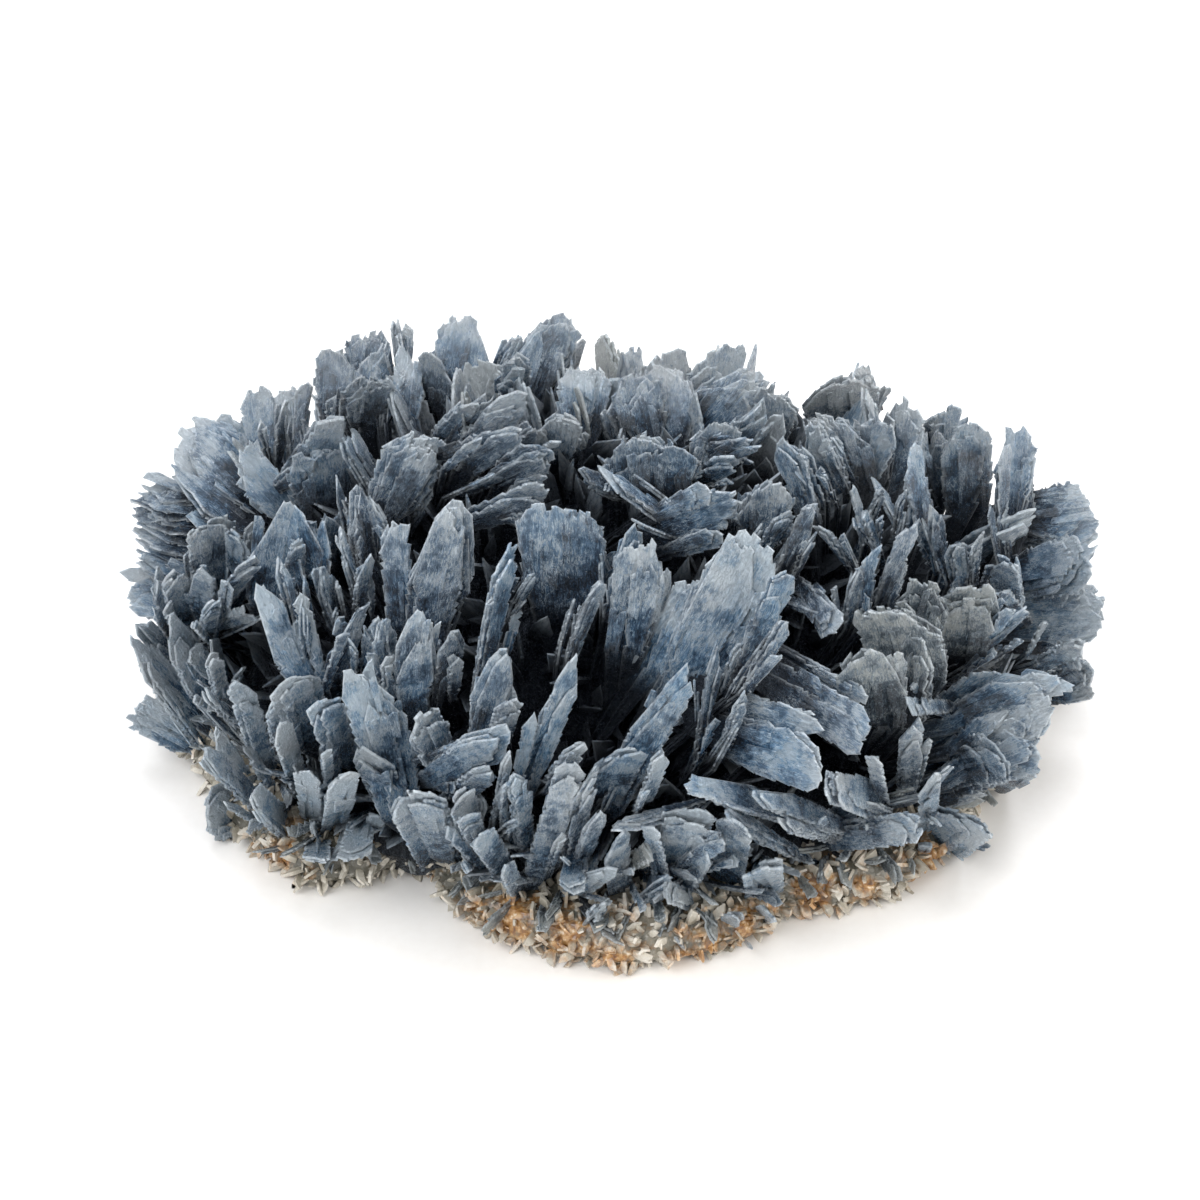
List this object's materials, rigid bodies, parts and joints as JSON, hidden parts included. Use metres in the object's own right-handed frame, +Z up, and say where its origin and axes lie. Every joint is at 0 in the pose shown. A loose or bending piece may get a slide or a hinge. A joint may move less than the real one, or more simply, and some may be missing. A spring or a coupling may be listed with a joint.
{
  "type": "barite crystal cluster",
  "caption": "Mineral specimen: thin tabular blue barite blades grown together over a mound, on a low iron-stained matrix crust with a flat underside to rest on.",
  "frame": {"origin": "on the flat underside of the crust, below the middle of the cluster", "axes": "+Z up, +X along the cluster's longest side, -Y towards the viewer of the picture"},
  "size_m": [0.1207, 0.0843, 0.0492],
  "materials": {
    "barite": "vitreous to pearly, striated along the blades, translucent at thin edges",
    "matrix": "rough sparkling druse, stained by iron"
  },
  "bodies": {
    "root": {"barite_blades": "barite", "matrix_crust": "matrix"}
  },
  "joints": []
}
